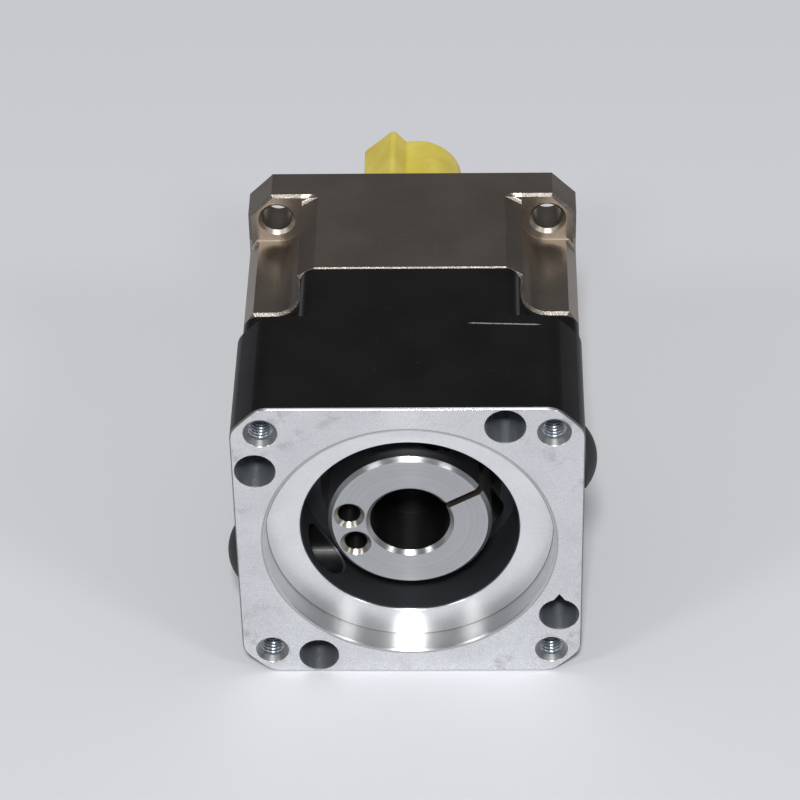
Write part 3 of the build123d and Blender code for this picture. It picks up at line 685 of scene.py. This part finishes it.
@dataclass(frozen=True)
class HubSteel(TurnedSteel):
    """The clamp hub's steel: bright outside, with painted shade in its bore and tapped holes and oil on the
    holes' chamfers.
    """

    bore_r: float = 7.0
    hub_face: float = -63.65
    chamfer: float = 0.7
    hole_r: float = 2.0
    hole_sink: float = 0.75
    hole_circle: float = 10.7
    hole_angles: tuple[float, float] = (171.9, 206.7)
    slit_angle: float = 30.0
    slit_width: float = 1.3
    step_depth: float = 10.7

    def detail(self, graph: Graph, shader: bpy.types.Node, colour: bpy.types.NodeSocket,
               rough: bpy.types.NodeSocket) -> None:
        """Paints shade into the bore, the slit and the two tapped holes, paints a highlight along the bore's
        step, and oils the holes' chamfers.

        Args:
            graph: The material's graph.
            shader: Its Principled BSDF.
            colour: The steel's colour.
            rough: The steel's roughness.
        """
        split = graph.add("SeparateXYZ")
        graph.join(millimetres(graph), split.inputs[0])
        x, y, z = split.outputs
        radius = graph.length(x, z)
        # Painted shade: the bore beyond its chamfer and the two tapped holes are coloured near black.
        deep = graph.fade(y, self.hub_face + self.chamfer - 0.02, self.hub_face + self.chamfer + 0.04)
        inside = graph.fade(radius, self.bore_r + 0.1, self.bore_r + 0.04)
        dark, oily = graph.times(inside, deep), None
        for angle in self.hole_angles:
            cx = self.hole_circle * math.cos(math.radians(angle))
            cz = self.hole_circle * math.sin(math.radians(angle))
            dx, dz = graph.math("SUBTRACT", x, cx), graph.math("SUBTRACT", z, cz)
            gap = graph.length(dx, dz)
            # Painted shade: each tapped hole's wall, past its chamfer, joins the near-black mask.
            hole = graph.times(graph.fade(gap, self.hole_r + 0.08, self.hole_r + 0.02),
                               graph.fade(y, self.hub_face + 0.3, self.hub_face + 0.5))
            dark = graph.math("MAXIMUM", dark, hole)
            rim_r = self.hole_r + self.hole_sink
            rim = graph.times(graph.fade(gap, rim_r + 0.02, rim_r),
                              graph.fade(y, self.hub_face + 0.01, self.hub_face + 0.05))
            oily = rim if oily is None else graph.math("MAXIMUM", oily, rim)
        turn = math.radians(self.slit_angle)
        out = graph.math("ADD", graph.times(x, math.cos(turn)), graph.times(z, math.sin(turn)))
        off = graph.math("SUBTRACT", graph.times(z, math.cos(turn)), graph.times(x, math.sin(turn)))
        half_slit = self.slit_width / 2
        # Painted shade: the slit's walls are coloured near black and made non-metallic.
        slit = graph.times(graph.fade(graph.math("ABSOLUTE", off), half_slit + 0.06, half_slit + 0.02),
                           graph.fade(y, self.hub_face + 0.01, self.hub_face + 0.05))
        slit = graph.times(slit, graph.fade(out, self.bore_r * 0.8, self.bore_r * 0.85))
        # Painted highlight: a lighter band round the bore at step_depth into it.
        step = self.hub_face + self.step_depth
        line = graph.times(inside, graph.between(y, step - 0.08, step + 0.08, 0.06))
        rim = graph.times(graph.fade(radius, self.bore_r + self.chamfer + 0.02, self.bore_r + self.chamfer),
                          graph.between(y, self.hub_face + 0.03, self.hub_face + self.chamfer, 0.02))
        oil_shade_and_highlight = graph.blend(graph.times(rim, 0.6), colour, (0.40, 0.40, 0.40))
        oil_shade_and_highlight = graph.blend(graph.times(oily, 0.8), oil_shade_and_highlight, (0.36, 0.335, 0.27))
        # Painted shade in the bore and the tapped holes.
        oil_shade_and_highlight = graph.blend(dark, oil_shade_and_highlight, (0.14, 0.14, 0.15))
        oil_shade_and_highlight = graph.blend(graph.times(line, 0.5), oil_shade_and_highlight, (0.30, 0.30, 0.30))
        graph.join(graph.blend(slit, oil_shade_and_highlight, (0.022, 0.017, 0.013)), shader.inputs["Base Color"])
        graph.join(graph.math("SUBTRACT", 1.0, slit), shader.inputs["Metallic"])
        graph.join(graph.mix(slit, graph.mix(dark, rough, 0.30), 0.6), shader.inputs["Roughness"])


@dataclass(frozen=True)
class DarkMetal(Finish):
    """Oxidised or phosphated steel: nearly black, with a thin film of oil."""

    worn: tuple[float, float, float] = (0.25, 0.24, 0.23)

    def build(self) -> bpy.types.Material:
        """Makes the material."""
        material, graph, shader = self.start()
        grain = effect(graph, EFFECTS.grain, Scale=7.0, Cloud_Scale=0.4)
        scuffs = effect(graph, EFFECTS.scuffs, Amount=0.8)
        colour = graph.blend(grain.outputs["Cloud"], self.colour, tuple(c * 1.5 for c in self.colour))
        colour = graph.blend(scuffs.outputs["Lines"], colour, self.worn)
        graph.join(colour, shader.inputs["Base Color"])
        rough = graph.mix(grain.outputs["Speck"], self.roughness, self.roughness + 0.12)
        graph.join(rough, shader.inputs["Roughness"])
        graph.join(graph.bump(grain.outputs["Height"], 0.25, 0.00004), shader.inputs["Normal"])
        return material


@dataclass(frozen=True)
class MouldedRubber(Finish):
    """Black moulded rubber with a soft bloom and dust."""

    metallic: float = 0.0

    def build(self) -> bpy.types.Material:
        """Makes the material."""
        material, graph, shader = self.start()
        grain = effect(graph, EFFECTS.grain, Scale=6.0, Cloud_Scale=0.3)
        scuffs = effect(graph, EFFECTS.scuffs, Amount=0.7)
        bloom = graph.blend(grain.outputs["Cloud"], self.colour, tuple(c * 1.6 for c in self.colour))
        colour = graph.blend(scuffs.outputs["Dust"], bloom, (0.16, 0.15, 0.14))
        graph.join(colour, shader.inputs["Base Color"])
        rough = graph.mix(grain.outputs["Speck"], self.roughness, self.roughness + 0.15)
        graph.join(rough, shader.inputs["Roughness"])
        graph.join(graph.bump(grain.outputs["Height"], 0.4, 0.00005), shader.inputs["Normal"])
        return material


@dataclass(frozen=True)
class DippedPlastic(Finish):
    """Soft yellow plastic, a little uneven and faintly translucent."""

    metallic: float = 0.0

    def build(self) -> bpy.types.Material:
        """Makes the material."""
        material, graph, shader = self.start()
        grain = effect(graph, EFFECTS.grain, Scale=2.5, Cloud_Scale=0.18)
        scuffs = effect(graph, EFFECTS.scuffs, Amount=0.5)
        deep = tuple(c * d for c, d in zip(self.colour, (0.88, 0.84, 0.6)))
        colour = graph.blend(grain.outputs["Cloud"], deep, self.colour)
        colour = graph.blend(scuffs.outputs["Dust"], colour, (0.30, 0.25, 0.06))
        graph.join(colour, shader.inputs["Base Color"])
        shader.inputs["Subsurface Weight"].default_value = 0.25
        shader.inputs["Subsurface Radius"].default_value = (0.9, 0.7, 0.1)
        shader.inputs["Subsurface Scale"].default_value = 0.0015
        rough = graph.mix(grain.outputs["Speck"], self.roughness, self.roughness + 0.1)
        graph.join(rough, shader.inputs["Roughness"])
        height = graph.math("ADD", grain.outputs["Cloud"], graph.times(grain.outputs["Height"], 0.15))
        graph.join(graph.bump(height, 0.25, 0.0002), shader.inputs["Normal"])
        return material


FINISHES: dict[Slot, Finish] = {
    Slot.NICKEL: NickelPlate("nickel_plate", (0.325, 0.285, 0.245), 0.38),
    Slot.ADAPTER: AnodisedAdapter("black_anodised_aluminium", (0.004, 0.004, 0.0043), 0.32, 0.0),
    Slot.GROUND: TurnedSteel("turned_steel", (0.66, 0.67, 0.68), 0.26),
    Slot.GEAR: TurnedSteel("gear_steel", (0.40, 0.40, 0.41), 0.34, marks=1.6),
    Slot.BEARING: TurnedSteel("polished_bearing_steel", (0.74, 0.75, 0.76), 0.12, marks=4.0, depth=0.08),
    Slot.SPRING: DarkMetal("phosphated_spring_steel", (0.07, 0.07, 0.075), 0.42),
    Slot.SCREW: DarkMetal("black_oxide_screw", (0.035, 0.034, 0.036), 0.36),
    Slot.RUBBER: MouldedRubber("nitrile_rubber", (0.009, 0.009, 0.010), 0.55),
    Slot.SLEEVE: DippedPlastic("yellow_dipped_plastic", (0.77, 0.645, 0.135), 0.45),
}


# Surfaces


def grid_mesh(name: str, points: np.ndarray, wrap_u: bool, wrap_v: bool) -> bpy.types.Mesh:
    """Makes a smooth mesh of quads from a grid of points.

    Args:
        name: The mesh's name.
        points: Grid of points, shaped (rows, columns, 3), in metres.
        wrap_u: Whether the last row joins the first.
        wrap_v: Whether the last column joins the first.

    Returns:
        The mesh, with a quad between each four neighbours of the grid.
    """
    rows, columns = points.shape[:2]
    index = np.arange(rows * columns).reshape(rows, columns)
    below = np.roll(index, -1, 0) if wrap_u else index[1:]
    here = index if wrap_u else index[:-1]
    if not wrap_v:
        quads = np.stack([here[:, :-1], here[:, 1:], below[:, 1:], below[:, :-1]], -1)
    else:
        quads = np.stack([here, np.roll(here, -1, 1), np.roll(below, -1, 1), below], -1)
    mesh = bpy.data.meshes.new(name)
    mesh.from_pydata(points.reshape(-1, 3).tolist(), [], quads.reshape(-1, 4).tolist())
    mesh.polygons.foreach_set("use_smooth", np.ones(len(mesh.polygons), bool))
    mesh.update()
    return mesh


def thread_ridge(centre: tuple[float, float], wall_r: float, crest_r: float, pitch: float,
                 start: float, end: float, steps: int = 40) -> np.ndarray:
    """Closed section of a screw thread swept along a helix about a line parallel to Y.

    The section is a trapezium between the wall and the crest. A point at angle t lies at radius r
    about the centre and at y = start + pitch t / 2 pi, and the ridge dies into the wall at both ends.

    Args:
        centre: The axis's x and z in millimetres.
        wall_r: Radius where the ridge meets its wall.
        crest_r: Radius of the crest.
        pitch: Distance from turn to turn.
        start: y of the first turn.
        end: y of the last turn.
        steps: Points to a turn.

    Returns:
        Grid of points in metres, sections by rows.
    """
    turns = abs(end - start) / pitch
    count = int(turns * steps)
    angle = np.linspace(0.0, 2.0 * np.pi * turns, count)[:, None]
    y = start + (end - start) * angle / angle[-1]
    ease = np.clip(np.minimum(angle, angle[-1] - angle) / (1.5 * np.pi), 0.0, 1.0)
    deep = (crest_r - wall_r) * (0.04 + 0.96 * ease)
    radial = np.array([[-0.25, 1.0, 1.0, -0.25]])
    beside = np.array([[-0.44, -0.08, 0.08, 0.44]]) * pitch
    r = wall_r + deep * radial
    x = centre[0] + r * np.cos(angle)
    z = centre[1] + r * np.sin(angle)
    return np.stack([x, y + beside, z], -1) * MM


def ribbon_cage(pitch_r: float, ball_r: float, balls: int, middle: float, phase: float) -> list[np.ndarray]:
    """Two wavy half cages that meet between the balls.

    The half height follows the balls: h = clearance + sqrt(R^2 - s^2) near a ball and a thin flange
    between them, where s is the distance along the pitch circle to the nearest ball.

    Args:
        pitch_r: Radius of the balls' circle.
        ball_r: Radius of a ball.
        balls: Number of balls.
        middle: y of the balls' centres.
        phase: Angle of a ball in radians.

    Returns:
        Two grids of points in metres, each a closed strip section swept round the axis.
    """
    around = 32 * balls
    angle = np.linspace(0.0, 2.0 * np.pi, around, endpoint=False)[:, None]
    step = 2.0 * np.pi / balls
    off = ((angle - phase + step / 2) % step - step / 2) * pitch_r
    cup_r = ball_r + 0.12
    rise = np.sqrt(np.clip(cup_r**2 - off**2, 0.0, None))
    inner = np.maximum(rise, 0.04)
    thick = 0.22
    half_width = 0.5 * ball_r
    r = pitch_r + np.array([[-half_width, half_width, half_width, -half_width]])
    strips = []
    for side in (1.0, -1.0):
        low, high = inner, np.sqrt(np.clip((cup_r + thick) ** 2 - off**2, 0.0, None))
        high = np.maximum(high, 0.04 + thick)
        section = np.concatenate([low, low, high, high], 1) * side + middle
        x, z = r * np.cos(angle), r * np.sin(angle)
        strips.append(np.stack([x, section, z], -1) * MM)
    return strips


def place(mesh: bpy.types.Mesh, body: Body, slot: Slot,
          materials: dict[Slot, bpy.types.Material]) -> bpy.types.Object:
    """Puts a new piece in the scene, facing outwards, on its body and with its finish.

    Args:
        mesh: The piece's mesh, whose name the piece takes.
        body: The body it rides on.
        slot: The material slot it takes.
        materials: The finishes by slot.

    Returns:
        The piece.
    """
    work = bmesh.new()
    work.from_mesh(mesh)
    bmesh.ops.recalc_face_normals(work, faces=work.faces)
    work.to_mesh(mesh)
    work.free()
    piece = bpy.data.objects.new(mesh.name, mesh)
    bpy.context.scene.collection.objects.link(piece)
    mesh.materials.append(materials[slot])
    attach(piece, body.value)
    LOG.info("piece %s: %d faces on %s", piece.name, len(mesh.polygons), body.value)
    return piece


# Sub-assemblies


@dataclass
class Reducer:
    """The reducer's CAD nodes, which keep their shape and take their finish from their slot."""

    materials: dict[Slot, bpy.types.Material]

    hub: HubSteel = HubSteel("clamp_hub_steel", (0.54, 0.55, 0.56), 0.28)

    def dress(self) -> None:
        """Gives every CAD node the finish of its slot in the record, and the hub its own."""
        slots = {part["node"]: Slot(part["material_slot"]) for part in frame["record"]["subparts"]}
        own = {"input_shaft": self.hub.build()}
        for name, node in frame["nodes"].items():
            node.data.materials.clear()
            node.data.materials.append(own.get(name, self.materials[slots[name]]))
            LOG.info("node %s: %s", name, slots[name].value)


@dataclass
class AdapterThreads:
    """Threads in the four tapped holes of the motor face, in millimetres."""

    materials: dict[Slot, bpy.types.Material]
    circle: float = 70.0
    tap_r: float = 2.1
    crest_r: float = 1.9
    pitch: float = 0.8
    first: float = -68.4
    last: float = -56.5

    def build(self) -> None:
        """Makes one ridge to each hole."""
        across = self.circle / math.sqrt(2.0) / 2.0
        places = [(across, across), (-across, across), (-across, -across), (across, -across)]
        for number, centre in enumerate(places, start=1):
            points = thread_ridge(centre, self.tap_r, self.crest_r, self.pitch, self.first, self.last)
            mesh = grid_mesh(f"motor_tap_thread_{number}", points, False, True)
            place(mesh, Body.GEARBOX, Slot.ADAPTER, self.materials)


@dataclass
class BearingCages:
    """Pressed steel ribbon cages of the three ball bearings, in millimetres."""

    materials: dict[Slot, bpy.types.Material]
    ball_base_r: float = 0.6
    ball_share: float = 0.21
    kinds: list[tuple[str, Body, float, float, int, float]] = field(default_factory=lambda: [
        ("front", Body.FRONT_BALLS, 10.0, 18.5, 9, -7.5),
        ("rear", Body.REAR_BALLS, 15.0, 21.0, 12, -35.0),
        ("input", Body.INPUT_BALLS, 10.0, 16.0, 9, -44.5),
    ])

    def build(self) -> None:
        """Makes two half cages to each bearing, from its bore and outer radius."""
        for name, body, bore_r, outer_r, balls, middle in self.kinds:
            pitch_r = (bore_r + outer_r) / 2
            ball_r = self.ball_base_r + self.ball_share * (outer_r - bore_r)
            for half, points in enumerate(ribbon_cage(pitch_r, ball_r, balls, middle, 0.0), start=1):
                mesh = grid_mesh(f"{name}_bearing_cage_{half}", points, True, True)
                place(mesh, body, Slot.GROUND, self.materials)


# Studio


@dataclass
class Studio:
    """Camera, floor, world and lamps."""

    eye: tuple[float, float, float] = (0.012363, -0.492413, 0.369395)
    yaw: float = -1.816
    pitch: float = 38.58
    roll: float = -1.381
    lens: float = 146.22
    floor_z: float = -0.030

    def camera(self) -> None:
        """Places the camera at the photograph's viewing angle."""
        data = bpy.data.cameras.new("camera")
        data.lens = self.lens
        data.sensor_width = 36.0
        data.clip_start = 0.01
        camera = bpy.data.objects.new("camera", data)
        bpy.context.scene.collection.objects.link(camera)
        yaw, pitch, roll = (math.radians(a) for a in (self.yaw, self.pitch, self.roll))
        ahead = Vector((math.sin(yaw) * math.cos(pitch), math.cos(yaw) * math.cos(pitch), -math.sin(pitch)))
        right = Vector((math.cos(yaw), -math.sin(yaw), 0.0))
        up = right.cross(ahead)
        across = math.cos(roll) * right + math.sin(roll) * up
        upward = -math.sin(roll) * right + math.cos(roll) * up
        turn = Matrix((across, upward, -ahead)).transposed().to_4x4()
        camera.matrix_world = Matrix.Translation(self.eye) @ turn
        bpy.context.scene.camera = camera

    def floor(self) -> None:
        """Makes the pale floor."""
        side = 4.0
        corners = np.array([[-side, -side, self.floor_z], [side, -side, self.floor_z],
                            [side, side, self.floor_z], [-side, side, self.floor_z]])
        mesh = bpy.data.meshes.new("floor")
        mesh.from_pydata(corners.tolist(), [], [(0, 1, 2, 3)])
        floor = bpy.data.objects.new("floor", mesh)
        bpy.context.scene.collection.objects.link(floor)
        material = bpy.data.materials.new("pale_floor")
        material.use_nodes = True
        shader = material.node_tree.nodes["Principled BSDF"]
        shader.inputs["Base Color"].default_value = (0.70, 0.71, 0.745, 1.0)
        shader.inputs["Roughness"].default_value = 0.9
        shader.inputs["Specular IOR Level"].default_value = 0.1
        mesh.materials.append(material)

    def world(self) -> None:
        """Makes a plain soft world, darker behind the reducer."""
        world = bpy.data.worlds.new("soft_world")
        bpy.context.scene.world = world
        world.use_nodes = True
        graph = Graph(world.node_tree)
        source = graph.add("TexCoord")
        split = graph.add("SeparateXYZ")
        graph.join(source.outputs["Generated"], split.inputs[0])
        high = graph.fade(split.outputs[2], 0.0, 0.9)
        back = graph.fade(split.outputs[1], -0.2, 0.7)
        side = graph.blend(back, (0.30, 0.30, 0.31), (0.08, 0.08, 0.085))
        colour = graph.blend(high, side, (0.22, 0.22, 0.225))
        background = world.node_tree.nodes["Background"]
        graph.join(colour, background.inputs["Color"])
        background.inputs["Strength"].default_value = 1.0

    def lamp(self, name: str, place_at: tuple[float, float, float], aim: tuple[float, float, float],
             size: tuple[float, float], power: float) -> None:
        """Adds a rectangular soft lamp.

        Args:
            name: The lamp's name.
            place_at: Its place in metres.
            aim: The point that it faces.
            size: Its width and height in metres.
            power: Its power in watts.
        """
        data = bpy.data.lights.new(name, "AREA")
        data.shape = "RECTANGLE"
        data.size, data.size_y = size
        data.energy = power
        lamp = bpy.data.objects.new(name, data)
        bpy.context.scene.collection.objects.link(lamp)
        way = Vector(aim) - Vector(place_at)
        lamp.matrix_world = Matrix.Translation(place_at) @ way.to_track_quat("-Z", "Y").to_matrix().to_4x4()

    def build(self) -> None:
        """Makes the whole studio."""
        self.camera()
        self.floor()
        self.world()
        self.lamp("front_lamp", (0.0, -1.5, 1.7), (0.0, 0.0, 0.0), (0.26, 0.26), 37.0)
        self.lamp("left_lamp", (-1.2, -0.96, 1.15), (0.0, 0.0, 0.0), (0.35, 0.35), 4.5)
        self.lamp("right_lamp", (1.2, -0.96, 1.15), (0.0, 0.0, 0.0), (0.35, 0.35), 4.5)
        bpy.context.scene.view_settings.view_transform = "Standard"
        LOG.info("studio ready")


def main() -> None:
    """Builds the studio, the finishes and every piece in order."""
    logging.basicConfig(level=logging.INFO, format="%(name)s: %(message)s")
    Studio().build()
    materials = {slot: finish.build() for slot, finish in FINISHES.items()}
    Reducer(materials).dress()
    AdapterThreads(materials).build()
    BearingCages(materials).build()


if __name__ == "__main__":
    main()
